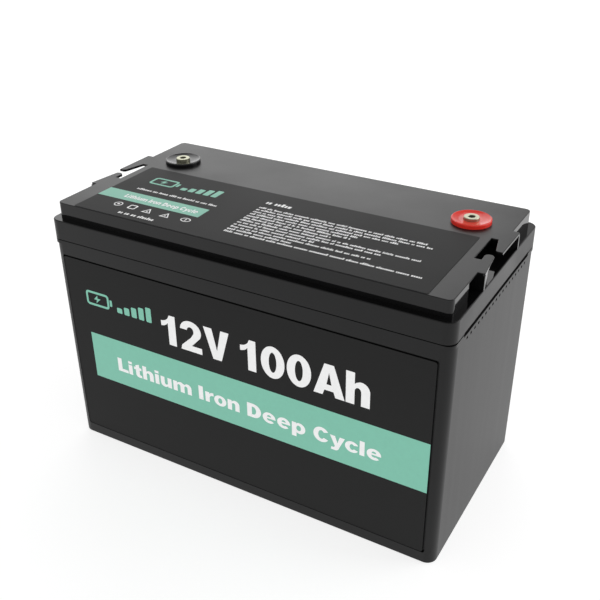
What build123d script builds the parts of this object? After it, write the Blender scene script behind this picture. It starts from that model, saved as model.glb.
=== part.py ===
from build123d import *
from math import cos, radians, sin, tan
import os

# Deep cycle battery: four lithium iron phosphate cells and their management board in a
# moulded case, with a raised top that carries two threaded terminals and two rope hooks.
# Millimetres.  The origin is the centre of the case's underside, +X points at the positive
# terminal's end, -Y at the labelled front and +Z up.

# ---- container -----------------------------------------------------------------------
seam_z = 184.5                    # where the container ends and the cover's band begins
case_half_x = 164.9               # at the seam
case_half_y = 85.2
case_corner = 8.0
draft = 0.22                      # degrees, the walls lean in towards the floor
foot_radius = 1.2
lip_height = 2.7                  # the rim's corners stand out as small lips under the seam
lip_corner = 6.3
cavity_half_x = 161.0
cavity_half_y = 81.5
cavity_corner = 5.0
floor_thickness = 3.0

recess_half_x = 157.0             # shallow label recess on the front and on the back
recess_bottom = 9.5
recess_top = 172.8
recess_depth = 0.6
recess_corner = 2.0
label_gap = 0.9                   # the front label is this much smaller all round than its recess,
label_shift = 0.8                 # and sits low and to the left in it
label_groove_width = 1.7          # drain groove round the edge of the front recess
label_groove_depth = 1.8

groove_half_y = 67.0              # pry groove across both ends, half in each moulding
groove_bottom = 182.6
groove_top = 186.3
groove_floor_x = 163.4
tick_count = 18                   # row of small vent nicks under each pry groove
tick_pitch = 7.1
tick_width = 2.8
tick_bottom = 178.6
tick_height = 1.9
tick_depth = 2.6

# ---- cover with its glossy ledge ---------------------------------------------------------
ledge_z = 201.5
band_half_x = 165.0
band_half_y = 86.0
band_corner = 8.0
band_edge_radius = 0.8
shadow_gap = 1.2                  # height of the dark line round the foot of the band
shadow_depth = 2.0
deck_thickness = 3.0
tongue_thickness = 2.2            # the tongue drops inside the container
tongue_drop = 4.0
tongue_rise = 3.5
seal_inset = 0.5                  # the seal's groove, measured out from the cavity wall
seal_width = 1.2
seal_depth = 1.3

# ---- raised top plate with its hooks -----------------------------------------------------
top_z = 214.0
plate_half_x = 160.0
plate_half_y = 80.0
plate_corner = 4.0
plate_skin = 1.8
plate_edge_radius = 0.5
wall = 2.5
hook_x = 165.0                    # outer edge of the hooks
hook_half_y = 36.5
hook_corner = 1.5
pocket_back_x = 143.0             # the space under the hooks, which also opens in front of them
pocket_front_y = -51.5
thin_skin = 0.8                   # what is left of the skin over its front part
slot_back_x = 150.7               # the slot through the skin, behind the hooks' fingers
slot_half_y = 17.5
finger_x = 155.5
leg_thickness = 2.0
front_leg_width = 8.0
rib_thickness = 2.0

# ---- terminals -----------------------------------------------------------------------------
terminal_x = 128.5
terminal_y = 38.0
insert_radius = 5.75
insert_top = 218.0
thread_radius = 2.5               # M6 tapped hole, minor radius
thread_length = 14.0
slide_gap = 0.1                   # radial clearance round the insert
ring_radius = 14.8
ring_rim_z = 217.0
ring_rim_radius = 0.8
ring_dish_z = 215.8
spigot_radius = 8.5
ring_seal_radius = 7.7
ring_seal_height = 2.2
boss_radius = 13.0
boss_depth = 3.0
flange_across = 20.0
flange_height = 3.5
stud_radius = 4.0
stud_bottom = 179.0

# ---- cells and what holds them -------------------------------------------------------------
pad_thickness = 3.0
cell_count = 4
cell_thickness = 50.0
cell_width = 160.0
cell_height = 114.0
cell_corner = 3.0
spacer_thickness = 1.0
cell_foot = floor_thickness + pad_thickness
cell_top = cell_foot + cell_height
cell_pitch = cell_thickness + spacer_thickness
stack_half_x = (cell_count * cell_pitch - spacer_thickness) / 2
cell_xs = [(index - (cell_count - 1) / 2) * cell_pitch for index in range(cell_count)]
post_y = 55.0
post_radius = 9.0
post_height = 3.0
post_stud_radius = 3.0
post_stud_height = 11.0
post_top = cell_top + post_height
plate_thickness = 3.0             # end plates of the stack
end_plate_half_y = 76.0
strap_thickness = 0.5
strap_width = 16.0
strap_levels = [40.0, 90.0]
busbar_thickness = 2.0
busbar_half_width = 9.0
nut_across = 10.0
nut_height = 5.0
nut_flange_radius = 6.5
foam_top = 118.0
ring_lug_thickness = 0.8
sense_points = [(0, 1), (1, -1), (2, 1), (3, -1), (3, 1)]   # cell index, side of the lid

# ---- management board ------------------------------------------------------------------------
tray_half_x = 84.0
tray_half_y = 44.0
tray_bottom = 138.0
tray_floor = 2.5
tray_rim = 3.0
tray_rim_thickness = 2.0
tray_leg_radius = 5.0
tray_leg_y = 30.0
board_half_x = 70.0
board_half_y = 38.0
board_thickness = 1.6
standoff_height = 6.0
standoff_across = 6.0
mount_x = 65.0
mount_y = 33.0
board_bottom = tray_bottom + tray_floor + standoff_height
board_top = board_bottom + board_thickness
mosfet_height = 2.5
sink_half_x = 42.0
sink_half_y = 17.0
sink_height = 14.0
sink_base = 4.0
board_stud_x = -62.0
board_stud_ys = [-22.0, 12.0]     # output side first, then the cells' side
board_pad_height = 2.0
probe_x = cell_xs[1]
probe_y = 28.0

# ---- cables --------------------------------------------------------------------------------------
cable_radius = 3.25
lug_thickness = 2.0
lug_half_width = 7.0
barrel_radius = 4.6
barrel_start = 12.0
barrel_end = 26.0
bore_start = 15.0
bore_gap = 0.05
wire_radius = 0.75
bend_share = 0.45                 # of the shorter run beside each bend


def block(x0, x1, y0, y1, z0, z1):
    """A box between two corners."""
    centre = Pos((x0 + x1) / 2, (y0 + y1) / 2, (z0 + z1) / 2)
    return centre * Box(x1 - x0, y1 - y0, z1 - z0)


def slab(half_x, half_y, radius, z0, z1, x=0.0):
    """A plate with rounded upright corners."""
    outline = RectangleRounded(2 * half_x, 2 * half_y, radius)
    return extrude(Pos(x, 0, z0) * outline, z1 - z0)


def disc(x, y, radius, z0, z1):
    """An upright cylinder."""
    return Pos(x, y, (z0 + z1) / 2) * Cylinder(radius, z1 - z0)


def hexagon(x, y, across, z0, z1):
    """An upright hexagonal prism."""
    return extrude(Pos(x, y, z0) * RegularPolygon(across / 2, 6, major_radius=False), z1 - z0)


def both_ends(shape):
    """A shape and its mirror image at the other end of the battery."""
    return shape + mirror(shape, about=Plane.YZ)


def save(name, *solids):
    """Write one node, as one solid or as a group of separate solids."""
    pieces = [solid for shape in solids for solid in shape.solids()]
    whole = pieces[0] if len(pieces) == 1 else Compound(pieces)
    export_step(whole, os.path.join("parts", name + ".step"))


# ---- container and its label ---------------------------------------------------------------------
def container_outside(inset):
    """The drafted outside of the container, with its side walls drawn in by inset."""
    lean = seam_z * tan(radians(draft))
    foot_x = case_half_x - lean - inset
    foot_y = case_half_y - lean - inset
    foot = RectangleRounded(2 * foot_x, 2 * foot_y, case_corner - inset)
    return extrude(foot, seam_z, taper=-draft)


def label_window(margin):
    """A prism through the battery from front to back, as large as the recess less a margin."""
    height = recess_top - recess_bottom - 2 * margin
    outline = RectangleRounded(2 * (recess_half_x - margin), height, recess_corner)
    middle = Pos(0, (recess_top + recess_bottom) / 2)
    return extrude(Plane.XZ * middle * outline, 2 * case_half_y, both=True)


def seal_ring(z0, z1):
    """The band between the seal groove's inner and outer walls."""
    inner = seal_inset
    outer = seal_inset + seal_width
    ring = slab(cavity_half_x + outer, cavity_half_y + outer, cavity_corner + outer, z0, z1)
    return ring - slab(cavity_half_x + inner, cavity_half_y + inner, cavity_corner + inner, z0, z1)


def make_case():
    shell = container_outside(0)
    shell += slab(case_half_x, case_half_y, lip_corner, seam_z - lip_height, seam_z)
    shell = fillet(shell.faces().sort_by(Axis.Z)[0].edges(), foot_radius)
    shell -= slab(cavity_half_x, cavity_half_y, cavity_corner, floor_thickness, seam_z)
    shell -= label_window(0) - container_outside(recess_depth)
    front = block(-case_half_x, case_half_x, -case_half_y, 0, 0, seam_z)
    drain = label_window(0) - label_window(label_groove_width) - container_outside(label_groove_depth)
    shell -= drain & front
    shell -= seal_ring(seam_z - seal_depth, seam_z)
    cuts = block(groove_floor_x, band_half_x, -groove_half_y, groove_half_y, groove_bottom, seam_z)
    first_y = -(tick_count - 1) / 2 * tick_pitch
    for index in range(tick_count):
        y = first_y + index * tick_pitch
        cuts += block(case_half_x - tick_depth, band_half_x, y - tick_width / 2, y + tick_width / 2,
                      tick_bottom, tick_bottom + tick_height)
    return shell - both_ends(cuts)


def make_front_label():
    """A vinyl sheet in the front recess; the drain groove shows above it and to its right."""
    sheet = container_outside(recess_depth / 2) - container_outside(recess_depth)
    front = block(-case_half_x, case_half_x, -case_half_y, 0, 0, seam_z)
    return sheet & Pos(-label_shift, 0, -label_shift) * label_window(label_gap) & front


# ---- cover -----------------------------------------------------------------------------------------
def make_cover():
    band = slab(band_half_x, band_half_y, band_corner, seam_z, ledge_z)
    band = fillet(band.faces().sort_by(Axis.Z)[-1].edges(), band_edge_radius)
    gap = slab(band_half_x, band_half_y, band_corner, seam_z, seam_z + shadow_gap)
    gap -= slab(band_half_x - shadow_depth, band_half_y - shadow_depth,
                band_corner - shadow_depth, seam_z, seam_z + shadow_gap)
    cover = band - gap
    cover += slab(cavity_half_x, cavity_half_y, cavity_corner, seam_z - tongue_drop, seam_z)
    tongue_x = cavity_half_x - tongue_thickness
    tongue_y = cavity_half_y - tongue_thickness
    cover -= slab(tongue_x, tongue_y, cavity_corner - tongue_thickness,
                  seam_z - tongue_drop, seam_z + tongue_rise)
    cover -= slab(cavity_half_x, cavity_half_y, cavity_corner, seam_z + tongue_rise,
                  ledge_z - deck_thickness)
    cover -= both_ends(block(groove_floor_x, hook_x, -groove_half_y, groove_half_y, seam_z, groove_top))
    boss_bottom = ledge_z - deck_thickness - boss_depth
    for x in (-terminal_x, terminal_x):
        cover += disc(x, terminal_y, boss_radius, boss_bottom, ledge_z - deck_thickness)
        cover -= disc(x, terminal_y, insert_radius + slide_gap, boss_bottom, ledge_z)
        cover -= disc(x, terminal_y, ring_seal_radius, ledge_z - ring_seal_height, ledge_z)
    return cover


# ---- top plate ---------------------------------------------------------------------------------------
def hook_opening():
    """The slot behind the two fingers, and the slanted gap between their rounded tips."""
    outside = hook_x + 5
    slot_back = Vector(slot_back_x, slot_half_y)
    rear_root = Vector(finger_x, slot_half_y)
    rear_tip_in = Vector(159.3, 1.1)
    rear_tip = Vector(161.6, -1.2)
    rear_tip_out = Vector(outside, -1.2)
    front_out = Vector(outside, -hook_half_y)
    front_heel = Vector(hook_x, -hook_half_y)
    front_tip_out = Vector(161.9, -9.4)
    front_tip = Vector(158.6, -7.6)
    front_tip_in = Vector(finger_x, -12.0)
    front_root = Vector(finger_x, -slot_half_y)
    slot_front = Vector(slot_back_x, -slot_half_y)
    edges = [
        Line(slot_back, rear_root),
        Line(rear_root, rear_tip_in),
        TangentArc(rear_tip_in, rear_tip, tangent=rear_tip_in - rear_root),
        Line(rear_tip, rear_tip_out),
        Line(rear_tip_out, front_out),
        Line(front_out, front_heel),
        Line(front_heel, front_tip_out),
        ThreePointArc(front_tip_out, front_tip, front_tip_in),
        Line(front_tip_in, front_root),
        Line(front_root, slot_front),
        Line(slot_front, slot_back),
    ]
    return make_face(edges)


def hook_legs():
    """What carries the hooks on the ledge: a thin rib at either side and an outer foot in front."""
    top = top_z - plate_skin
    legs = block(pocket_back_x, hook_x, hook_half_y - leg_thickness, hook_half_y, ledge_z, top)
    legs += block(pocket_back_x, hook_x, -hook_half_y, leg_thickness - hook_half_y, ledge_z, top)
    slant = (hook_x - 161.9) / (hook_half_y - 9.4)
    front_y = front_leg_width - hook_half_y
    front_x = hook_x - slant * front_leg_width
    foot = Polyline((hook_x - leg_thickness, -hook_half_y), (hook_x, -hook_half_y),
                    (front_x, front_y), (front_x - leg_thickness, front_y), close=True)
    return legs + extrude(Pos(0, 0, ledge_z) * make_face(foot), top - ledge_z)


def make_top_plate():
    skin_bottom = top_z - plate_skin
    outline = RectangleRounded(2 * plate_half_x, 2 * plate_half_y, plate_corner)
    outline += RectangleRounded(2 * hook_x, 2 * hook_half_y, hook_corner)
    opening = hook_opening()
    outline -= opening
    outline -= mirror(opening, about=Plane.YZ)
    skin = extrude(Pos(0, 0, skin_bottom) * outline, plate_skin)
    skin = fillet(skin.faces().sort_by(Axis.Z)[-1].edges(), plate_edge_radius)

    body = slab(plate_half_x, plate_half_y, plate_corner, ledge_z, skin_bottom)
    body -= both_ends(block(pocket_back_x, hook_x, pocket_front_y, hook_half_y, ledge_z, skin_bottom))
    hollow = slab(plate_half_x - wall, plate_half_y - wall, plate_corner - wall, ledge_z, skin_bottom)
    pocket_wall = block(pocket_back_x - wall, plate_half_x, pocket_front_y - wall, hook_half_y + wall,
                        ledge_z, skin_bottom)
    hollow -= both_ends(pocket_wall)
    for y in (-plate_half_y / 2, 0):
        hollow -= block(-plate_half_x, plate_half_x, y - rib_thickness / 2, y + rib_thickness / 2,
                        ledge_z, skin_bottom)
    for x in (-plate_half_x / 2, 0, plate_half_x / 2):
        hollow -= block(x - rib_thickness / 2, x + rib_thickness / 2, -plate_half_y, plate_half_y,
                        ledge_z, skin_bottom)
    for x in (-terminal_x, terminal_x):
        hollow -= disc(x, terminal_y, spigot_radius + wall, ledge_z, skin_bottom)
    skin -= both_ends(block(pocket_back_x, plate_half_x, pocket_front_y, -hook_half_y,
                            skin_bottom, top_z - thin_skin))
    plate = skin + (body - hollow) + both_ends(hook_legs())
    for x in (-terminal_x, terminal_x):
        plate -= disc(x, terminal_y, spigot_radius + slide_gap, ledge_z, top_z)
    return plate


def make_top_label():
    """A vinyl sheet on the raised top, from the front edge to just past the middle."""
    half_x = 143.5
    front_y = -79.2
    back_y = 14.5
    thickness = 0.25
    corner = 1.0
    outline = RectangleRounded(2 * half_x, back_y - front_y, corner)
    return extrude(Pos(0, (front_y + back_y) / 2, top_z) * outline, thickness)


# ---- terminals -----------------------------------------------------------------------------------------
def make_ring(x):
    """A coloured polarity ring: a dished disc with an upright side and an insulating spigot."""
    bore = insert_radius + slide_gap
    land = insert_radius + 2
    rim = ring_radius - ring_rim_radius
    turn = ring_rim_radius * (1 - cos(radians(45)))
    profile = [
        Line((bore, ledge_z), (spigot_radius, ledge_z)),
        Line((spigot_radius, ledge_z), (spigot_radius, top_z)),
        Line((spigot_radius, top_z), (ring_radius, top_z)),
        Line((ring_radius, top_z), (ring_radius, ring_rim_z - ring_rim_radius)),
        ThreePointArc((ring_radius, ring_rim_z - ring_rim_radius), (ring_radius - turn, ring_rim_z - turn),
                      (rim, ring_rim_z)),
        ThreePointArc((rim, ring_rim_z), ((rim + land) / 2, ring_dish_z + 0.35), (land, ring_dish_z)),
        Line((land, ring_dish_z), (bore, ring_dish_z)),
        Line((bore, ring_dish_z), (bore, ledge_z)),
    ]
    return Pos(x, terminal_y, 0) * revolve(Plane.XZ * make_face(profile), Axis.Z)


def make_insert(x):
    """A plated brass terminal: tapped boss above, hexagonal flange and stud inside."""
    flange_top = ledge_z - deck_thickness - boss_depth
    flange_bottom = flange_top - flange_height
    edge = 0.4
    insert = disc(x, terminal_y, insert_radius, flange_top, insert_top)
    insert = chamfer(insert.faces().sort_by(Axis.Z)[-1].edges(), edge)
    insert += hexagon(x, terminal_y, flange_across, flange_bottom, flange_top)
    insert += disc(x, terminal_y, stud_radius, stud_bottom, flange_bottom)
    insert -= disc(x, terminal_y, thread_radius, insert_top - thread_length, insert_top)
    mouth = Pos(x, terminal_y, insert_top - edge / 2) * Cone(thread_radius, thread_radius + edge, edge)
    return insert - mouth


def make_ring_seal(x):
    seal = disc(x, terminal_y, ring_seal_radius, ledge_z - ring_seal_height, ledge_z)
    return seal - disc(x, terminal_y, insert_radius, ledge_z - ring_seal_height, ledge_z)


def nut(x, y, z0, across, height, bore, washer_radius, washer_height):
    """A hexagonal nut on a washer face."""
    body = disc(x, y, washer_radius, z0, z0 + washer_height)
    body += hexagon(x, y, across, z0 + washer_height, z0 + height)
    return body - disc(x, y, bore, z0, z0 + height)


# ---- cells -----------------------------------------------------------------------------------------------
def make_cell(x):
    return slab(cell_thickness / 2, cell_width / 2, cell_corner, cell_foot, cell_top, x)


def make_post(x, y):
    return disc(x, y, post_radius, cell_top, post_top) + disc(
        x, y, post_stud_radius, post_top, post_top + post_stud_height)


def make_vent(x):
    slot = Rot(0, 0, 90) * SlotOverall(20, 10)
    return extrude(Pos(x, 0, cell_top) * slot, 0.4)


def make_busbar(x, y):
    """A flat bar across two neighbouring cells, with a raised bend in its middle."""
    top = post_top + busbar_thickness
    bar = extrude(Pos(x, y, post_top) * SlotOverall(cell_pitch + 2 * busbar_half_width,
                                                    2 * busbar_half_width), busbar_thickness)
    hump = Pos(x, y, post_top) * Rot(90, 0, 0) * Cylinder(6, 2 * busbar_half_width)
    hollow = Pos(x, y, post_top) * Rot(90, 0, 0) * Cylinder(4, 2 * busbar_half_width)
    below = block(x - 7, x + 7, y - busbar_half_width, y + busbar_half_width, top - 10, post_top)
    bar = bar + hump - hollow - below
    for side in (-1, 1):
        bar -= disc(x + side * cell_pitch / 2, y, post_stud_radius + slide_gap, post_top, top)
    return bar


def make_strap(z):
    x = stack_half_x + plate_thickness
    y = cell_width / 2
    z0 = z - strap_width / 2
    z1 = z + strap_width / 2
    outer = slab(x + strap_thickness, y + strap_thickness, cell_corner + strap_thickness, z0, z1)
    return outer - slab(x, y, cell_corner, z0, z1)


def make_ring_lug(x, side):
    """A thin sense-wire eyelet under a cell nut, with its tab towards the middle."""
    z0 = post_top + busbar_thickness
    z1 = z0 + ring_lug_thickness
    y = side * post_y
    tab_y = sorted((y - side * 3.5, y - side * 10))
    eyelet = disc(x, y, 5, z0, z1) + block(x - 1.5, x + 1.5, tab_y[0], tab_y[1], z0, z1)
    return eyelet - disc(x, y, post_stud_radius + slide_gap, z0, z1)


def make_cell_nut(index, side):
    """A flanged nut, lifted where a sense-wire eyelet lies under it."""
    lift = ring_lug_thickness if (index, side) in sense_points else 0
    z0 = post_top + busbar_thickness + lift
    bore = post_stud_radius + slide_gap
    return nut(cell_xs[index], side * post_y, z0, nut_across, nut_height, bore, nut_flange_radius, 1)


# ---- management board --------------------------------------------------------------------------------------
def make_tray():
    """A plastic tray that stands on the outer cells and carries the board."""
    floor = tray_bottom + tray_floor
    tray = slab(tray_half_x, tray_half_y, cell_corner, tray_bottom, floor + tray_rim)
    tray -= slab(tray_half_x - tray_rim_thickness, tray_half_y - tray_rim_thickness, 1,
                 floor, floor + tray_rim)
    for x in (cell_xs[0], cell_xs[-1]):
        for y in (-tray_leg_y, tray_leg_y):
            tray += disc(x, y, tray_leg_radius, cell_top, tray_bottom)
    return tray - disc(probe_x, probe_y, 3, tray_bottom, floor)


def board_corners():
    return [(x, y) for x in (-mount_x, mount_x) for y in (-mount_y, mount_y)]


def make_standoff(x, y):
    return hexagon(x, y, standoff_across, tray_bottom + tray_floor, board_bottom)


def make_screw(x, y):
    return disc(x, y, 2.8, board_top, board_top + 2)


def make_heatsink():
    """An aluminium block with upright fins."""
    z0 = board_top + mosfet_height
    sink = block(-sink_half_x, sink_half_x, -sink_half_y, sink_half_y, z0, z0 + sink_height)
    fin = 2.0
    gap = 3.0
    count = 6
    first = -(count * (fin + gap) - fin) / 2 + gap / 2
    for index in range(count):
        y = first + index * (fin + gap)
        sink -= block(-sink_half_x, sink_half_x, y, y + gap, z0 + sink_base, z0 + sink_height)
    return sink


def make_mosfets():
    z1 = board_top + mosfet_height
    return [block(x - 4.5, x + 4.5, y - 5, y + 5, board_top, z1)
            for y in (-9, 9) for x in (-32.5, -19.5, -6.5, 6.5, 19.5, 32.5)]


def make_board_stud(y):
    stud = disc(board_stud_x, y, 6.5, board_top, board_top + board_pad_height)
    top = board_top + board_pad_height
    return stud + disc(board_stud_x, y, post_stud_radius, top, top + 10)


def make_probe():
    """A temperature bead on the lid of one cell, with its lead up to the board."""
    bead = disc(probe_x, probe_y, 2.5, cell_top, cell_top + 6)
    return bead + disc(probe_x, probe_y, wire_radius, cell_top + 6, board_bottom)


# ---- cables and wires -----------------------------------------------------------------------------------------
def bend_radii(points):
    """The largest even bend for every corner of a route."""
    radii = []
    for before, corner, after in zip(points, points[1:], points[2:]):
        incoming = Vector(*corner) - Vector(*before)
        outgoing = Vector(*after) - Vector(*corner)
        turn = incoming.get_angle(outgoing)
        shorter = min(incoming.length, outgoing.length)
        radii.append(bend_share * shorter / tan(radians(turn / 2)))
    return radii


def tube(name, points, radius):
    """A round cable along straight runs joined by tangent arcs."""
    radii = bend_radii(points)
    print(name, "bend radii", [round(value, 1) for value in radii])
    path = FilletPolyline(*points, radius=radii)
    start = Plane(origin=path @ 0, z_dir=path % 0)
    return sweep(start * Circle(radius), path=path)


def make_lug(x, y, z, heading, side):
    """A cable lug: a flat tongue at height z, and a barrel above it (side 1) or below it (-1)."""
    axis = side * barrel_radius
    flat = lug_thickness / 2 * side
    tongue = Pos(0, 0, flat) * Cylinder(lug_half_width, lug_thickness)
    tongue += Pos(lug_half_width, 0, flat) * Box(2 * lug_half_width, 2 * lug_half_width, lug_thickness)
    length = barrel_end - barrel_start
    barrel = Pos(barrel_start + length / 2, 0, axis) * Rot(0, 90, 0) * Cylinder(barrel_radius, length)
    bore_length = barrel_end - bore_start
    bore = Pos(bore_start + bore_length / 2, 0, axis) * Rot(0, 90, 0) * Cylinder(
        cable_radius + bore_gap, bore_length)
    lug = tongue + barrel - bore
    lug -= Pos(0, 0, flat) * Cylinder(stud_radius + slide_gap, lug_thickness)
    return Pos(x, y, z) * Rot(0, 0, heading) * lug


def cable_end(x, y, z, heading, side):
    """Where a cable's centre line ends inside the barrel of a lug."""
    reach = bore_start + slide_gap
    turn = radians(heading)
    return (x + reach * cos(turn), y + reach * sin(turn), z + side * barrel_radius)


# ---- all nodes --------------------------------------------------------------------------------------------------
os.makedirs("parts", exist_ok=True)

save("case", make_case())
save("cover", make_cover())
save("cover_seal", seal_ring(seam_z - seal_depth, seam_z))
save("top_plate", make_top_plate())
save("front_label", make_front_label())
save("top_label", make_top_label())
save("positive_ring", make_ring(terminal_x))
save("negative_ring", make_ring(-terminal_x))
save("positive_terminal", make_insert(terminal_x))
save("negative_terminal", make_insert(-terminal_x))
save("terminal_seals", make_ring_seal(-terminal_x), make_ring_seal(terminal_x))

flange_face = ledge_z - deck_thickness - boss_depth - flange_height
washer_top = flange_face - lug_thickness
washer_bottom = washer_top - 1.5
washers = []
nuts = []
for x in (-terminal_x, terminal_x):
    washer = disc(x, terminal_y, 8, washer_bottom, washer_top)
    washers.append(washer - disc(x, terminal_y, stud_radius + slide_gap, washer_bottom, washer_top))
    flat_nut = hexagon(x, terminal_y, 13, washer_bottom - 6.5, washer_bottom)
    nuts.append(flat_nut - disc(x, terminal_y, stud_radius + slide_gap, washer_bottom - 6.5, washer_bottom))
save("terminal_washers", *washers)
save("terminal_nuts", *nuts)

save("base_pad", slab(cavity_half_x - 1, cavity_half_y - 1, cavity_corner + 1, floor_thickness, cell_foot))
for index, x in enumerate(cell_xs):
    save(f"cell_{index + 1}", make_cell(x))
save("cell_posts", *[make_post(x, side * post_y) for x in cell_xs for side in (-1, 1)])
save("cell_vents", *[make_vent(x) for x in cell_xs])
spacer_xs = [(left + right) / 2 for left, right in zip(cell_xs, cell_xs[1:])]
save("cell_spacers", *[block(x - spacer_thickness / 2, x + spacer_thickness / 2, -end_plate_half_y,
                             end_plate_half_y, cell_foot, cell_top - 2) for x in spacer_xs])
end_plate = block(stack_half_x, stack_half_x + plate_thickness, -end_plate_half_y, end_plate_half_y,
                  cell_foot, foam_top)
save("end_plates", end_plate, mirror(end_plate, about=Plane.YZ))
save("cell_straps", *[make_strap(z) for z in strap_levels])
busbar_sides = [-1, 1, -1]
save("busbars", *[make_busbar(x, side * post_y) for x, side in zip(spacer_xs, busbar_sides)])
save("cell_nuts", *[make_cell_nut(index, side) for index in range(cell_count) for side in (-1, 1)])
save("sense_lugs", *[make_ring_lug(cell_xs[index], side) for index, side in sense_points])
foam_start = stack_half_x + plate_thickness + strap_thickness
foam = slab((cavity_half_x - foam_start) / 2, cavity_half_y - 2.5, cavity_corner + 1, cell_foot, foam_top,
            (cavity_half_x + foam_start) / 2)
save("end_foams", foam, mirror(foam, about=Plane.YZ))

save("board_tray", make_tray())
save("board_standoffs", *[make_standoff(x, y) for x, y in board_corners()])
save("control_board", block(-board_half_x, board_half_x, -board_half_y, board_half_y, board_bottom, board_top))
save("board_screws", *[make_screw(x, y) for x, y in board_corners()])
save("board_mosfets", *make_mosfets())
save("board_heatsink", make_heatsink())
save("board_shunts", *[block(-50, -45, y - 5, y + 5, board_top, board_top + 2) for y in (-24, -5, 14)])
save("board_controller", block(50, 62, -16, -4, board_top, board_top + 1.8))
connector_x = 42.5
save("sense_connector", block(connector_x - 10, connector_x + 10, 29, 37, board_top, board_top + 6))
save("board_studs", *[make_board_stud(y) for y in board_stud_ys])
board_lug_z = board_top + board_pad_height
board_nut_z = board_lug_z + lug_thickness
save("board_nuts", *[nut(board_stud_x, y, board_nut_z, nut_across, nut_height,
                         post_stud_radius + slide_gap, nut_flange_radius, 1) for y in board_stud_ys])
save("board_probe", make_probe())

# Each heavy cable ends in two lugs: place, height of the tongue's seat, heading and side.
positive_post = (cell_xs[-1], post_y, post_top, 0, 1)
negative_post = (cell_xs[0], post_y, post_top, 180, 1)
board_output = (board_stud_x, board_stud_ys[0], board_lug_z, 180, 1)
board_input = (board_stud_x, board_stud_ys[1], board_lug_z, 180, 1)
positive_stud = (terminal_x, terminal_y, flange_face, -90, -1)
negative_stud = (-terminal_x, terminal_y, flange_face, -90, -1)
lug_seats = [positive_post, positive_stud, negative_post, board_input, board_output, negative_stud]
save("cable_lugs", *[make_lug(*seat) for seat in lug_seats])

low = cable_end(*positive_post)
high = cable_end(*positive_stud)
positive_route = [low, (122, post_y, low[2]), (126, 10, low[2]), (terminal_x, -30, 150),
                  (terminal_x, -30, high[2]), high]
save("positive_cable", tube("positive_cable", positive_route, cable_radius))

low = cable_end(*board_output)
high = cable_end(*negative_stud)
negative_route = [low, (-116, low[1], low[2]), (-terminal_x, -16, high[2]), high]
save("negative_cable", tube("negative_cable", negative_route, cable_radius))

low = cable_end(*negative_post)
high = cable_end(*board_input)
link_route = [low, (-118, post_y, low[2]), (-120, 26, 146), (-104, high[1], high[2]), high]
save("link_cable", tube("link_cable", link_route, cable_radius))

# Sense wires leave the connector side by side.  Three drop to the rear row of posts, and two go
# round the board's right-hand end to the front row.
pin_y = 37.0
pin_z = 151.0
rail_y = 46.5
rail_low = 137.0
eyelet_top = post_top + busbar_thickness + ring_lug_thickness
left_x = cell_xs[0]
near_x = cell_xs[2]
right_x = cell_xs[3]
far_x = cell_xs[1]
wire_routes = [
    [(35, pin_y, pin_z), (35, rail_y, pin_z), (left_x, rail_y, rail_low), (left_x, rail_y, eyelet_top)],
    [(39, pin_y, pin_z), (39, rail_y, pin_z), (near_x, rail_y, rail_low), (near_x, rail_y, eyelet_top)],
    [(43, pin_y, pin_z), (43, rail_y, pin_z), (right_x, rail_y, rail_low), (right_x, rail_y, eyelet_top)],
    [(47, pin_y, pin_z), (47, 42, pin_z), (88, 42, pin_z), (88, -rail_y, pin_z),
     (far_x, -rail_y, rail_low), (far_x, -rail_y, eyelet_top)],
    [(51, pin_y, pin_z), (51, 39.6, pin_z), (85, 39.6, pin_z), (85, -rail_y, 143),
     (right_x, -rail_y, rail_low), (right_x, -rail_y, eyelet_top)],
]
save("sense_wires", *[tube(f"sense_wire_{index + 1}", route, wire_radius)
                      for index, route in enumerate(wire_routes)])
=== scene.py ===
"""Looks of the deep cycle battery: materials, printed labels, thread detail, floor, light and camera.

Lengths are in metres in the CAD frame: +X towards the positive terminal, -Y towards the
labelled front, +Z up, with the origin on the floor under the middle of the case.
"""
import random
from math import cos, pi, radians, sin, tan

import bmesh
import bpy
from mathutils import Matrix, Vector


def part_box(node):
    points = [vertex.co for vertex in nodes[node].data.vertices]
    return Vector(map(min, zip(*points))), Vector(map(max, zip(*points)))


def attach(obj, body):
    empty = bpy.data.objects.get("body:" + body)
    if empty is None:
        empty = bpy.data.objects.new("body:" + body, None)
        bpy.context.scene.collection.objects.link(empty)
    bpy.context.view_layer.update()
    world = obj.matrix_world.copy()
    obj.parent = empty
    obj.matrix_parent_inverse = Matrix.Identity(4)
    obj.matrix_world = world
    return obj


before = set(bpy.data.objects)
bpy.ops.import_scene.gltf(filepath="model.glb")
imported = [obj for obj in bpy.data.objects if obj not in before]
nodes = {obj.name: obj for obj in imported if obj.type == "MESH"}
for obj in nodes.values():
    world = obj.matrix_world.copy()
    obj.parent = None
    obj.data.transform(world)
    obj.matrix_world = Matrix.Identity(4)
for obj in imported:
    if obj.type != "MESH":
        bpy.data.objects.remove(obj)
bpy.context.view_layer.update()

MM = 0.001
DRAFT = radians(0.22)             # lean of the container's walls
PRINT_LIFT = 0.03 * MM            # ink stands this far off the vinyl
PRINT_THICKNESS = 0.04 * MM
LAYER_GAP = 0.01 * MM             # between one layer of ink and the next
NICK_HALF_ROW = 66 * MM           # the nicks and the groove on an end wall lie within this of its middle
NICK_BOTTOM = 172 * MM            # and above this height
FLOOR_REACH = 6.0
random.seed(12)


# ---- node tree helpers ---------------------------------------------------------------------------
def map_range(tree, value, low, high, out_low, out_high):
    """Carry a value from one range to another."""
    node = tree.nodes.new("ShaderNodeMapRange")
    tree.links.new(value, node.inputs["Value"])
    for socket, number in zip(("From Min", "From Max", "To Min", "To Max"),
                              (low, high, out_low, out_high)):
        node.inputs[socket].default_value = number
    return node.outputs["Result"]


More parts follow.
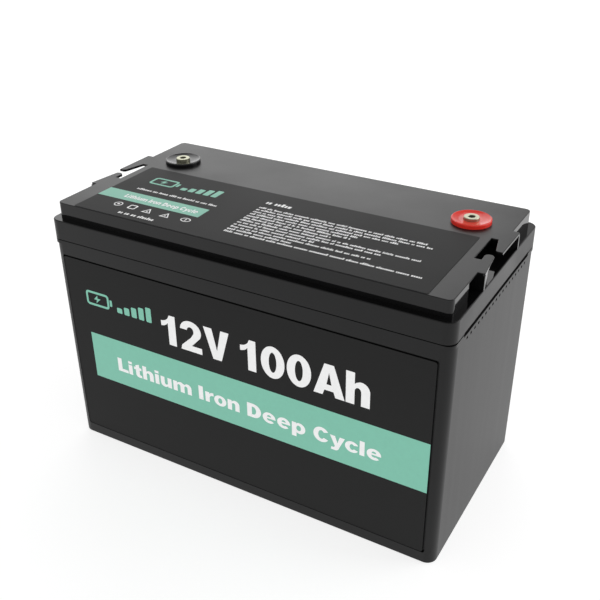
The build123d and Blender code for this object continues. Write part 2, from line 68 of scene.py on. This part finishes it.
class Surface:
    """A Principled material with short calls for the nodes that feed it."""

    def __init__(self, name, color, roughness, **sockets):
        self.material = bpy.data.materials.new(name)
        self.material.use_nodes = True
        self.tree = self.material.node_tree
        self.shader = self.tree.nodes["Principled BSDF"]
        self.shader.inputs["Base Color"].default_value = (*color, 1)
        self.shader.inputs["Roughness"].default_value = roughness
        for socket, value in sockets.items():
            self.shader.inputs[socket.replace("_", " ")].default_value = value
        self.place = self.tree.nodes.new("ShaderNodeTexCoord").outputs["Object"]

    def link(self, output, target):
        self.tree.links.new(output, target)

    def stretched(self, scale):
        """Object coordinates with a scale for each axis."""
        node = self.tree.nodes.new("ShaderNodeMapping")
        node.inputs["Scale"].default_value = scale
        self.link(self.place, node.inputs["Vector"])
        return node.outputs["Vector"]

    def noise(self, scale, detail=3, rough=0.5, place=None):
        """Soft noise between zero and one."""
        node = self.tree.nodes.new("ShaderNodeTexNoise")
        node.inputs["Scale"].default_value = scale
        node.inputs["Detail"].default_value = detail
        node.inputs["Roughness"].default_value = rough
        self.link(place or self.place, node.inputs["Vector"])
        return node.outputs["Fac"]

    def ramp(self, value, low, high, out_low, out_high):
        return map_range(self.tree, value, low, high, out_low, out_high)

    def tint(self, value, dark, light):
        """Mix two colours by a value and use the result as the base colour."""
        node = self.tree.nodes.new("ShaderNodeMix")
        node.data_type = "RGBA"
        self.link(value, node.inputs["Factor"])
        node.inputs["A"].default_value = (*dark, 1)
        node.inputs["B"].default_value = (*light, 1)
        self.link(node.outputs["Result"], self.shader.inputs["Base Color"])

    def blend(self, factor, first, second):
        """Mix two values by a factor."""
        node = self.tree.nodes.new("ShaderNodeMix")
        self.link(factor, node.inputs["Factor"])
        for output, socket in ((first, "A"), (second, "B")):
            self.link(output, node.inputs[socket])
        return node.outputs["Result"]

    def maths(self, operation, first, second=None):
        """A sum on one value or on two."""
        node = self.tree.nodes.new("ShaderNodeMath")
        node.operation = operation
        self.link(first, node.inputs[0])
        if second:
            self.link(second, node.inputs[1])
        return node.outputs["Value"]

    def inside_end(self, depth_x, side_y, bottom_z):
        """One on surfaces cut into the upper part of an end wall, zero on the wall itself."""
        split = self.tree.nodes.new("ShaderNodeSeparateXYZ")
        self.link(self.place, split.inputs["Vector"])
        deep = self.ramp(self.maths("ABSOLUTE", split.outputs["X"]), depth_x - 0.15 * MM, depth_x, 1, 0)
        middle = self.ramp(self.maths("ABSOLUTE", split.outputs["Y"]), side_y, side_y + 3 * MM, 1, 0)
        high = self.ramp(split.outputs["Z"], bottom_z, bottom_z + 3 * MM, 0, 1)
        return self.maths("MULTIPLY", deep, self.maths("MULTIPLY", middle, high))

    def rough(self, value):
        self.link(value, self.shader.inputs["Roughness"])

    def upward(self):
        """One where the surface faces up, zero on its sides."""
        geometry = self.tree.nodes.new("ShaderNodeNewGeometry")
        split = self.tree.nodes.new("ShaderNodeSeparateXYZ")
        self.link(geometry.outputs["Normal"], split.inputs["Vector"])
        return self.ramp(split.outputs["Z"], 0.6, 0.95, 0, 1)

    def bump(self, height, distance, strength=1.0):
        """Add relief; calls can be chained."""
        node = self.tree.nodes.new("ShaderNodeBump")
        node.inputs["Strength"].default_value = strength
        node.inputs["Distance"].default_value = distance
        self.link(height, node.inputs["Height"])
        earlier = self.shader.inputs["Normal"].links
        if earlier:
            self.link(earlier[0].from_socket, node.inputs["Normal"])
        self.link(node.outputs["Normal"], self.shader.inputs["Normal"])


# ---- materials -----------------------------------------------------------------------------------
def case_plastic():
    """Black ABS from a spark-textured mould, with faint upright flow marks and dull nicks."""
    surface = Surface("case_plastic", (0.007, 0.007, 0.0072), 0.4, IOR=1.33)
    grain = surface.noise(1900, 2)
    flow = surface.noise(1, 4, 0.6, surface.stretched((90, 90, 3)))
    cloud = surface.noise(14, 3)
    surface.tint(cloud, (0.0035, 0.0035, 0.0037), (0.007, 0.007, 0.0072))
    satin = surface.ramp(flow, 0.3, 0.7, 0.375, 0.395)
    nicks = surface.inside_end(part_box("case")[1].x - 0.05 * MM, NICK_HALF_ROW, NICK_BOTTOM)
    surface.rough(surface.maths("MAXIMUM", satin, nicks))
    surface.bump(grain, 0.03 * MM, 0.5)
    return surface.material


def cover_plastic():
    """The same ABS with a polished ledge and satin sides."""
    surface = Surface("cover_plastic", (0.004, 0.004, 0.0042), 0.35, IOR=1.34)
    smear = surface.noise(22, 3)
    satin = surface.ramp(smear, 0.3, 0.7, 0.34, 0.42)
    polished = surface.ramp(smear, 0.3, 0.7, 0.02, 0.05)
    surface.rough(surface.blend(surface.upward(), satin, polished))
    return surface.material


def top_plastic():
    """Satin ABS of the raised top, with light handling marks and polished sides."""
    surface = Surface("top_plastic", (0.005, 0.005, 0.0052), 0.38, IOR=1.37)
    grain = surface.noise(2100, 2)
    smear = surface.noise(9, 5, 0.6)
    scratch = surface.noise(1, 2, 0.5, surface.stretched((35, 900, 300)))
    surface.tint(smear, (0.004, 0.004, 0.0042), (0.006, 0.006, 0.0062))
    satin = surface.ramp(smear, 0.3, 0.75, 0.33, 0.43)
    polished = surface.ramp(smear, 0.3, 0.75, 0.04, 0.08)
    upward = surface.upward()
    surface.rough(surface.blend(upward, polished, satin))
    surface.bump(surface.maths("MULTIPLY", grain, upward), 0.025 * MM, 0.4)
    surface.bump(surface.maths("MULTIPLY", scratch, upward), 0.01 * MM, 0.15)
    return surface.material


def vinyl(name, color, ior=1.42):
    """Matt printed vinyl with an orange-peel laminate."""
    surface = Surface(name, color, 0.48, IOR=ior)
    peel = surface.noise(620, 2)
    cloud = surface.noise(8, 3)
    surface.tint(cloud, tuple(0.88 * part for part in color), tuple(1.12 * part for part in color))
    surface.rough(surface.ramp(cloud, 0.3, 0.7, 0.43, 0.52))
    surface.bump(peel, 0.03 * MM, 0.35)
    return surface.material


def ink(name, color):
    """Screen-printed ink with a slight mottle."""
    surface = Surface(name, color, 0.45, IOR=1.42)
    mottle = surface.noise(300, 3)
    surface.tint(mottle, tuple(0.95 * part for part in color), tuple(min(1, 1.04 * part) for part in color))
    surface.rough(surface.ramp(mottle, 0.3, 0.7, 0.4, 0.5))
    surface.bump(mottle, 0.01 * MM, 0.3)
    return surface.material


def ring_plastic(name, color, roughness):
    """Polished nylon with a faint swirl from the mould."""
    surface = Surface(name, color, roughness, IOR=1.38)
    swirl = surface.noise(160, 3)
    surface.tint(swirl, tuple(0.92 * part for part in color), tuple(min(1, 1.06 * part) for part in color))
    surface.rough(surface.ramp(swirl, 0.3, 0.7, roughness * 0.8, roughness * 1.3))
    surface.bump(swirl, 0.01 * MM, 0.3)
    return surface.material


def metal(name, color, roughness):
    """Plated or bare metal with a fine machined grain."""
    surface = Surface(name, color, roughness, Metallic=1.0)
    grain = surface.noise(900, 3, 0.6)
    cloud = surface.noise(120, 3)
    surface.tint(cloud, tuple(0.85 * part for part in color), color)
    surface.rough(surface.ramp(grain, 0.3, 0.7, roughness * 0.8, roughness * 1.25))
    surface.bump(grain, 0.01 * MM, 0.4)
    return surface.material


def soft(name, color, roughness, pore_scale):
    """Rubber, foam or a cable jacket with a pored skin."""
    surface = Surface(name, color, roughness)
    pores = surface.noise(pore_scale, 4, 0.6)
    surface.tint(pores, tuple(0.75 * part for part in color), tuple(min(1, 1.2 * part) for part in color))
    surface.rough(surface.ramp(pores, 0.3, 0.7, roughness - 0.08, min(1, roughness + 0.08)))
    surface.bump(pores, 0.05 * MM, 0.5)
    return surface.material


def floor_paint():
    """Matt white, with a little light of its own so that it stays pale."""
    surface = Surface("floor_paint", (0.45, 0.45, 0.45), 0.8, Specular_IOR_Level=0.1,
                      Emission_Color=(1, 1, 1, 1), Emission_Strength=0.74)
    surface.rough(surface.ramp(surface.noise(6, 2), 0.3, 0.7, 0.65, 0.75))
    return surface.material


teal = (0.215, 0.56, 0.425)
white = (0.95, 0.95, 0.95)
materials = {
    "case_plastic": case_plastic(),
    "cover_plastic": cover_plastic(),
    "top_plastic": top_plastic(),
    "label_vinyl": vinyl("label_vinyl", (0.019, 0.019, 0.019), 1.16),
    "teal_ink": ink("teal_ink", teal),
    "white_ink": ink("white_ink", white),
    "red_plastic": ring_plastic("red_plastic", (0.86, 0.035, 0.022), 0.12),
    "black_plastic": ring_plastic("black_plastic", (0.004, 0.004, 0.0045), 0.12),
    "plated_brass": metal("plated_brass", (0.45, 0.45, 0.33), 0.34),
    # painted shade: the thread's brass is near-black to stand for the shade deep in the tapped holes
    "shade_darkened_brass": metal("shade_darkened_brass", (0.07, 0.065, 0.05), 0.45),
    "seal_rubber": soft("seal_rubber", (0.02, 0.02, 0.02), 0.7, 500),
    "bare_steel": metal("bare_steel", (0.62, 0.62, 0.63), 0.3),
    "foam": soft("foam", (0.05, 0.05, 0.055), 0.9, 350),
    "cell_film": vinyl("cell_film", (0.02, 0.12, 0.42)),
    "cell_metal": metal("cell_metal", (0.78, 0.79, 0.80), 0.32),
    "laminate": vinyl("laminate", (0.45, 0.50, 0.20)),
    "solder_mask": vinyl("solder_mask", (0.01, 0.13, 0.05)),
    "tinned_copper": metal("tinned_copper", (0.80, 0.68, 0.58), 0.3),
    "red_silicone": soft("red_silicone", (0.6, 0.02, 0.02), 0.5, 700),
    "black_silicone": soft("black_silicone", (0.02, 0.02, 0.02), 0.5, 700),
    "wire_jacket": soft("wire_jacket", (0.7, 0.7, 0.68), 0.45, 700),
}
finishes = {
    "case_plastic": ["case"],
    "cover_plastic": ["cover"],
    "top_plastic": ["top_plate"],
    "label_vinyl": ["front_label", "top_label"],
    "red_plastic": ["positive_ring"],
    "black_plastic": ["negative_ring", "board_tray", "sense_connector", "board_controller",
                      "board_mosfets"],
    "plated_brass": ["positive_terminal", "negative_terminal", "board_standoffs"],
    "seal_rubber": ["cover_seal", "terminal_seals"],
    "bare_steel": ["terminal_washers", "terminal_nuts", "cell_nuts", "board_nuts", "board_screws",
                   "cell_straps"],
    "foam": ["base_pad", "end_foams"],
    "cell_film": ["cell_1", "cell_2", "cell_3", "cell_4"],
    "cell_metal": ["cell_posts", "cell_vents", "busbars", "end_plates", "board_heatsink"],
    "laminate": ["cell_spacers"],
    "solder_mask": ["control_board"],
    "tinned_copper": ["cable_lugs", "sense_lugs", "board_studs", "board_shunts"],
    "red_silicone": ["positive_cable"],
    "black_silicone": ["negative_cable", "link_cable", "board_probe"],
    "wire_jacket": ["sense_wires"],
}


def dress_nodes():
    """Give every CAD node its material."""
    for finish, names in finishes.items():
        for name in names:
            mesh = nodes[name].data
            mesh.materials.clear()
            mesh.materials.append(materials[finish])


# ---- printing ------------------------------------------------------------------------------------
# Artwork is drawn in millimetres on a flat sheet, then laid on the label it belongs to.
def front_sheet(x, up, lift):
    """A point on the front label, which leans with the container's wall; up is its height."""
    low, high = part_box("front_label")
    return Vector((x * MM, low.y + (high.z - up * MM) * tan(DRAFT) - lift, up * MM))


def top_sheet(x, back, lift):
    """A point on the top label; back is how far along +Y it is."""
    return Vector((x * MM, back * MM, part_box("top_label")[1].z + lift))


def add_piece(name, mesh, finish):
    """Turn a bmesh into a piece that rides on the battery, in the given finish."""
    bmesh.ops.recalc_face_normals(mesh, faces=mesh.faces)
    data = bpy.data.meshes.new(name)
    mesh.to_mesh(data)
    mesh.free()
    data.materials.append(materials[finish])
    piece = bpy.data.objects.new(name, data)
    bpy.context.scene.collection.objects.link(piece)
    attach(piece, "root")


def filled(curve):
    """The solid mesh of a curve, with its front faces at positive local Z."""
    curve.extrude = 0.5
    holder = bpy.data.objects.new(curve.name, curve)
    bpy.context.scene.collection.objects.link(holder)
    bpy.context.view_layer.update()
    shape = bpy.data.meshes.new_from_object(holder)
    bpy.data.objects.remove(holder)
    mesh = bmesh.new()
    mesh.from_mesh(shape)
    bmesh.ops.remove_doubles(mesh, verts=mesh.verts, dist=1e-5)
    return mesh


def lay(mesh, sheet, layer):
    """Move a flat drawing on to its sheet; each layer of ink lies on the one before."""
    base = PRINT_LIFT + layer * (PRINT_THICKNESS + LAYER_GAP)
    for vert in mesh.verts:
        lift = base + (PRINT_THICKNESS if vert.co.z > 0 else 0)
        vert.co = sheet(vert.co.x, vert.co.y, lift)


def print_loops(name, sheet, finish, loops, layer=0):
    """Ink inside closed outlines; an outline inside another one is a hole."""
    curve = bpy.data.curves.new(name, "CURVE")
    curve.dimensions = "2D"
    curve.fill_mode = "BOTH"
    for loop in loops:
        spline = curve.splines.new("POLY")
        spline.points.add(len(loop) - 1)
        for point, (x, y) in zip(spline.points, loop):
            point.co = (x, y, 0, 1)
        spline.use_cyclic_u = True
    mesh = filled(curve)
    lay(mesh, sheet, layer)
    add_piece(name, mesh, finish)


def rectangle(x0, x1, y0, y1):
    return [(x0, y0), (x1, y0), (x1, y1), (x0, y1)]


def arc(centre, radii, start, stop, steps=16):
    """Points along part of an ellipse, between two angles in degrees."""
    return [(centre[0] + radii[0] * cos(radians(start + (stop - start) * step / steps)),
             centre[1] + radii[1] * sin(radians(start + (stop - start) * step / steps)))
            for step in range(steps + 1)]


def ellipse(centre, radii, steps=40):
    return arc(centre, radii, 0, 360, steps)[:-1]


def rounded(x0, x1, y0, y1, radius):
    """A rectangle with round corners."""
    corners = [((x1 - radius, y1 - radius), 0), ((x0 + radius, y1 - radius), 90),
               ((x0 + radius, y0 + radius), 180), ((x1 - radius, y0 + radius), 270)]
    return [point for centre, start in corners
            for point in arc(centre, (radius, radius), start, start + 90, 6)]


def placed(loops, x, y, width, height):
    """Unit drawings moved and scaled into place."""
    return [[(x + px * width, y + py * height) for px, py in loop] for loop in loops]


def heavy_letters():
    """Outlines of a heavy plain alphabet, with capitals one unit high, and each one's advance."""
    small, stem = 0.73, 0.25
    middle = small / 2
    round_outer, round_inner = (0.36, 0.385), (0.12, 0.20)
    one = [(0.24, 0), (0.50, 0), (0.50, 1), (0.30, 1)] + arc((0.0, 1.02), (0.29, 0.25), -10, -90, 6)
    one += [(0.0, 0.60)] + arc((0.0, 0.85), (0.27, 0.25), -80, -30, 4) + [(0.24, 0.72)]
    two = arc((0.37, 0.69), (0.36, 0.325), 178, -32, 22)
    two += [(0.44, 0.26), (0.38, 0.20), (0.73, 0.20), (0.73, 0), (0, 0), (0.04, 0.15)]
    two += [(0.36, 0.46)] + arc((0.36, 0.68), (0.115, 0.14), -28, 172, 16)
    vee = [(0, 1), (0.28, 1), (0.43, 0.30), (0.58, 1), (0.85, 1), (0.57, 0), (0.29, 0)]
    big_a = [(0, 0), (0.27, 0), (0.325, 0.17), (0.595, 0.17), (0.65, 0), (0.92, 0), (0.60, 1), (0.32, 1)]
    big_c = arc((0.42, 0.5), (0.42, 0.52), 32, 328, 26) + arc((0.42, 0.5), (0.16, 0.30), 322, 38, 20)
    big_d = [(0, 0), (0.36, 0)] + arc((0.36, 0.5), (0.43, 0.5), -80, 80, 18) + [(0.36, 1), (0, 1)]
    d_hole = [(0.27, 0.22), (0.34, 0.22)] + arc((0.34, 0.5), (0.17, 0.28), -80, 80, 12)
    d_hole += [(0.34, 0.78), (0.27, 0.78)]
    hump = [(0, 0), (stem, 0), (stem, 0.42)] + arc((0.345, 0.42), (0.095, 0.13), 170, 0, 9)
    hump += [(0.44, 0), (0.69, 0)] + arc((0.44, 0.48), (0.25, 0.27), 0, 100, 10) + [(0.30, 0.70)]
    small_n = hump + [(0.24, 0.63), (0.24, small), (0, small)]
    small_h = hump + [(stem, 0.65), (stem, 1), (0, 1)]
    small_m = [(0, 0), (stem, 0), (stem, 0.42)] + arc((0.345, 0.42), (0.095, 0.13), 170, 0, 9)
    small_m += [(0.44, 0), (0.69, 0), (0.69, 0.42)] + arc((0.785, 0.42), (0.095, 0.13), 170, 0, 9)
    small_m += [(0.88, 0), (1.13, 0)] + arc((0.89, 0.48), (0.24, 0.27), 0, 105, 10) + [(0.70, 0.64)]
    small_m += arc((0.47, 0.48), (0.20, 0.27), 50, 100, 6) + [(0.32, 0.70), (0.24, 0.63)]
    small_m += [(0.24, small), (0, small)]
    small_e = arc((0.36, middle), round_outer, -6, 318, 28)
    small_e += arc((0.37, 0.29), (0.13, 0.12), 315, 190, 12) + [(0.24, 0.32)]
    e_hole = [(0.245, 0.44)] + arc((0.36, 0.44), (0.115, 0.13), 170, 10, 10) + [(0.475, 0.44)]
    small_c = arc((0.36, middle), round_outer, 30, 330, 24)
    small_c += arc((0.36, middle), round_inner, 322, 38, 16)
    small_p = [(0, -0.27), (stem, -0.27), (stem, 0.04)]
    small_p += arc((0.41, middle), (0.32, 0.385), -112, 112, 22) + [(0.24, 0.65), (0.24, small), (0, small)]
    small_r = [(0, 0), (stem, 0), (stem, 0.30)] + arc((0.45, 0.33), (0.20, 0.20), 175, 100, 6)
    small_r += [(0.50, 0.53), (0.50, 0.74), (0.42, 0.745)] + arc((0.42, 0.5), (0.18, 0.24), 110, 150, 4)
    small_r += [(0.24, small), (0, small)]
    small_t = arc((0.32, 0.20), (0.21, 0.22), 180, 270, 8) + [(0.50, 0.0), (0.48, 0.18), (0.42, 0.17)]
    small_t += [(0.36, 0.22), (0.36, 0.54), (0.49, 0.54), (0.49, small), (0.36, small), (0.36, 0.98)]
    small_t += [(0.11, 0.86), (0.11, small), (0, small), (0, 0.54), (0.11, 0.54)]
    small_y = [(0, small), (0.27, small), (0.39, 0.27), (0.51, small), (0.77, small), (0.50, 0.0)]
    small_y += arc((0.27, -0.02), (0.21, 0.26), -15, -90, 8) + [(0.06, -0.27), (0.08, -0.08)]
    small_y += [(0.18, -0.09), (0.25, -0.03), (0.26, 0.03)]
    return {
        "1": ([one], 0.66), "2": ([two], 0.82), "V": ([vee], 0.87), " ": ([], 0.34),
        "0": ([ellipse((0.37, 0.5), (0.37, 0.515)), ellipse((0.37, 0.5), (0.12, 0.325))], 0.81),
        "A": ([big_a, [(0.385, 0.36), (0.535, 0.36), (0.46, 0.74)]], 0.95),
        "C": ([big_c], 0.87), "D": ([big_d, d_hole], 0.88),
        "I": ([rectangle(0, 0.27, 0, 1)], 0.40),
        "L": ([[(0, 1), (0, 0), (0.66, 0), (0.66, 0.22), (0.27, 0.22), (0.27, 1)]], 0.71),
        "c": ([small_c], 0.74), "e": ([small_e, e_hole], 0.81), "h": ([small_h], 0.80),
        "i": ([rectangle(0, stem, 0, small), rectangle(0, stem, 0.82, 1)], 0.36),
        "l": ([rectangle(0, stem, 0, 1)], 0.36), "m": ([small_m], 1.24), "n": ([small_n], 0.80),
        "o": ([ellipse((0.36, middle), round_outer), ellipse((0.36, middle), round_inner)], 0.80),
        "p": ([small_p, ellipse((0.37, middle), (0.125, 0.19))], 0.82), "r": ([small_r], 0.53),
        "t": ([small_t], 0.57), "y": ([small_y], 0.78),
        "u": ([[(0.69 - x, small - y) for x, y in small_n]], 0.80),
    }


def heavy_words(words, left, right, base, height):
    """Words set in the heavy alphabet, fitted between left and right."""
    letters = heavy_letters()
    gap = 0.11
    unit = (right - left) / (sum(letters[letter][1] for letter in words) - gap)
    loops = []
    x = left
    for letter in words:
        drawing, advance = letters[letter]
        loops += placed(drawing, x, base, unit, height)
        x += advance * unit
    return loops


def emblem_loops(left, base, height):
    """A generic sign: a battery outline with a bolt in it, then five rising charge bars."""
    border = 0.15 * height
    length = 1.8 * height
    loops = [rounded(left, left + length, base, base + height, 0.22 * height),
             rounded(left + border, left + length - border, base + border, base + height - border,
                     0.1 * height),
             rounded(left + length + 0.06 * height, left + length + 0.24 * height,
                     base + 0.28 * height, base + 0.72 * height, 0.06 * height)]
    bolt = [(0.55, 0.98), (0.15, 0.42), (0.45, 0.42), (0.35, 0.02), (0.85, 0.60), (0.52, 0.60)]
    loops += placed([bolt], left + 0.5 * height, base + 0.2 * height, 0.75 * height, 0.6 * height)
    bars = 5
    for bar in range(bars):
        x = left + (2.4 + 0.56 * bar) * height
        top = base + (0.36 + 0.16 * bar) * height
        loops.append(rounded(x, x + 0.4 * height, base, top, 0.08 * height))
    return loops


def dummy_words(left, right, base, height):
    """A line of small strokes that reads as print from afar and says nothing."""
    loops = []
    x = left
    while x < right:
        for _ in range(random.randint(2, 9)):
            wide = height * random.uniform(0.26, 0.5)
            tall = height * random.choice((0.7, 0.7, 0.7, 1.0))
            if x + wide > right:
                return loops
            loops.append(rectangle(x, x + wide, base, base + tall))
            x += wide + height * 0.16
        x += height * 0.45
    return loops


def sign_loops(centre_x, base):
    """Five plain signs in a row: ring, square, two triangles and an oval."""
    size = 7.4
    middle = base + size / 2
    loops = [ellipse((centre_x[0], middle), (3.6, 3.6)), ellipse((centre_x[0], middle), (2.7, 2.7)),
             ellipse((centre_x[0], middle), (1.1, 1.1), 16)]
    loops += [rounded(centre_x[1] - 3.5, centre_x[1] + 3.5, middle - 3.5, middle + 3.5, 1.4),
              rounded(centre_x[1] - 2.4, centre_x[1] + 2.4, middle - 2.4, middle + 2.4, 0.8)]
    for x in centre_x[2:4]:
        loops += [[(x - 4.2, base), (x + 4.2, base), (x, base + size)],
                  [(x - 2.7, base + 0.9), (x + 2.7, base + 0.9), (x, base + 5.6)],
                  ellipse((x, base + 2.3), (0.7, 0.7), 12)]
    loops += [ellipse((centre_x[4], middle), (4.2, 3.2)), ellipse((centre_x[4], middle), (3.4, 2.4)),
              rectangle(centre_x[4] - 0.45, centre_x[4] + 0.45, middle - 1.5, middle + 1.5)]
    return loops


def build_front_print():
    """The front label: a sign, the rating, and a band that carries the type."""
    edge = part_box("front_label")[1].x / MM - 0.1
    print_loops("front_band", front_sheet, "teal_ink", [rectangle(-139.3, edge, 64.5, 106.7)])
    print_loops("front_emblem", front_sheet, "teal_ink", emblem_loops(-138.6, 133.4, 12.8))
    print_loops("front_rating", front_sheet, "white_ink",
                heavy_words("12V 100Ah", -64.8, 110.2, 119.2, 26.0))
    print_loops("front_type", front_sheet, "white_ink",
                heavy_words("Lithium Iron Deep Cycle", -114.3, 120.0, 77.5, 12.5), layer=1)


def build_top_print():
    """The top label: a stripe, a sign, a row of small signs and lines of strokes for small print."""
    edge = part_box("top_label")[0].x / MM + 0.1
    stripe = [(edge, -52.5), (-48.0, -52.5), (-48.4, -37.0), (edge, -37.0)]
    print_loops("top_band", top_sheet, "teal_ink", [stripe])
    print_loops("top_emblem", top_sheet, "teal_ink", emblem_loops(-124.0, -15.2, 13.0))
    print_loops("top_type", top_sheet, "white_ink",
                heavy_words("Lithium Iron Deep Cycle", -122.0, -53.5, -47.6, 5.6), layer=1)
    print_loops("top_signs", top_sheet, "white_ink",
                sign_loops((-115.9, -102.3, -87.5, -70.8, -53.1), -64.2))
    small = dummy_words(-123.6, -46.8, -29.8, 3.0) + dummy_words(-105.6, -71.8, -74.2, 3.8)
    small += dummy_words(-18.5, 7.5, -6.4, 5.2)
    row_pitch = 4.28
    row_ends = (118.3, 122.3, 98.6, 70.1, 66.3, 54.5, 122.8, 95.5, 48.2, 94.8, 34.8, 132.5)
    for row, end in enumerate(row_ends):
        small += dummy_words(-18.5, end, -15.8 - row_pitch * row, 2.7)
    print_loops("top_small_print", top_sheet, "white_ink", small)


# ---- threads -------------------------------------------------------------------------------------
def build_thread(name, terminal):
    """The tapped thread inside a terminal: a helical ridge that stands in from the wall, its brass painted
    near-black as painted shade deep in the hole.
    """
    low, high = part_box(terminal)
    middle = (low + high) / 2
    root, crest, pitch = 2.5 * MM, 2.1 * MM, 1.0 * MM
    turns, steps = 11, 28
    mesh = bmesh.new()
    rings = []
    for step in range(turns * steps + 1):
        angle = 2 * pi * step / steps
        z = high.z - 1.2 * MM - pitch * step / steps
        ring = []
        for radius, rise in ((root, 0.4 * pitch), (crest, 0.05 * pitch), (crest, -0.05 * pitch),
                             (root, -0.4 * pitch)):
            spot = (middle.x + radius * cos(angle), middle.y + radius * sin(angle), z + rise)
            ring.append(mesh.verts.new(spot))
        rings.append(ring)
    for ring, after in zip(rings, rings[1:]):
        for index in range(4):
            turn = (index + 1) % 4
            mesh.faces.new((ring[index], ring[turn], after[turn], after[index]))
    mesh.faces.new(rings[0])
    mesh.faces.new(list(reversed(rings[-1])))
    # the thread takes the near-black brass, painted shade for the inside of the hole
    add_piece(name, mesh, "shade_darkened_brass")


# ---- surroundings --------------------------------------------------------------------------------
def build_floor():
    """A plain floor, which isn't part of the object."""
    mesh = bmesh.new()
    outline = rectangle(-FLOOR_REACH, FLOOR_REACH, -FLOOR_REACH, FLOOR_REACH)
    corners = [mesh.verts.new((x, y, 0)) for x, y in outline]
    mesh.faces.new(corners)
    data = bpy.data.meshes.new("floor")
    mesh.to_mesh(data)
    mesh.free()
    data.materials.append(floor_paint())
    floor = bpy.data.objects.new("floor", data)
    bpy.context.scene.collection.objects.link(floor)


def softbox(name, place, aim, size, power):
    """A square area light that faces a point."""
    light = bpy.data.lights.new(name, "AREA")
    light.size = size
    light.energy = power
    lamp = bpy.data.objects.new(name, light)
    lamp.location = place
    lamp.rotation_euler = (Vector(aim) - Vector(place)).to_track_quat("-Z", "Y").to_euler()
    bpy.context.scene.collection.objects.link(lamp)


def build_light():
    """A white sky that is dimmer overhead, and two large softboxes behind the battery."""
    world = bpy.data.worlds.new("studio")
    world.use_nodes = True
    tree = world.node_tree
    background = tree.nodes["Background"]
    background.inputs["Color"].default_value = (1, 1, 1, 1)
    place = tree.nodes.new("ShaderNodeTexCoord")
    split = tree.nodes.new("ShaderNodeSeparateXYZ")
    tree.links.new(place.outputs["Generated"], split.inputs["Vector"])
    fade = map_range(tree, split.outputs["Z"], 0.1, 0.8, 1.0, 0.45)
    tree.links.new(fade, background.inputs["Strength"])
    bpy.context.scene.world = world
    softbox("back_left", (-1.2, 1.9, 1.3), (0, 0, 0.15), 1.8, 12)
    softbox("right", (1.6, 1.0, 0.9), (0.1, 0.2, 0.0), 1.2, 12)
    bpy.context.scene.view_settings.view_transform = "Standard"
    bpy.context.scene.view_settings.look = "None"


def build_camera():
    """The photograph's view: from the front right and above."""
    yaw, pitch, roll = radians(30.12), radians(29.06), radians(-0.45)
    camera = bpy.data.objects.new("camera", bpy.data.cameras.new("camera"))
    camera.data.sensor_width = 36
    camera.data.lens = 51.38
    place = Matrix.Translation((0.30557, -0.51403, 0.46496))
    tilt = Matrix.Rotation(pi / 2 - pitch, 4, "X")
    camera.matrix_world = place @ (Matrix.Rotation(yaw, 4, "Z") @ tilt @ Matrix.Rotation(roll, 4, "Z"))
    bpy.context.scene.collection.objects.link(camera)
    bpy.context.scene.camera = camera


dress_nodes()
build_front_print()
build_top_print()
build_thread("positive_thread", "positive_terminal")
build_thread("negative_thread", "negative_terminal")
build_floor()
build_light()
build_camera()
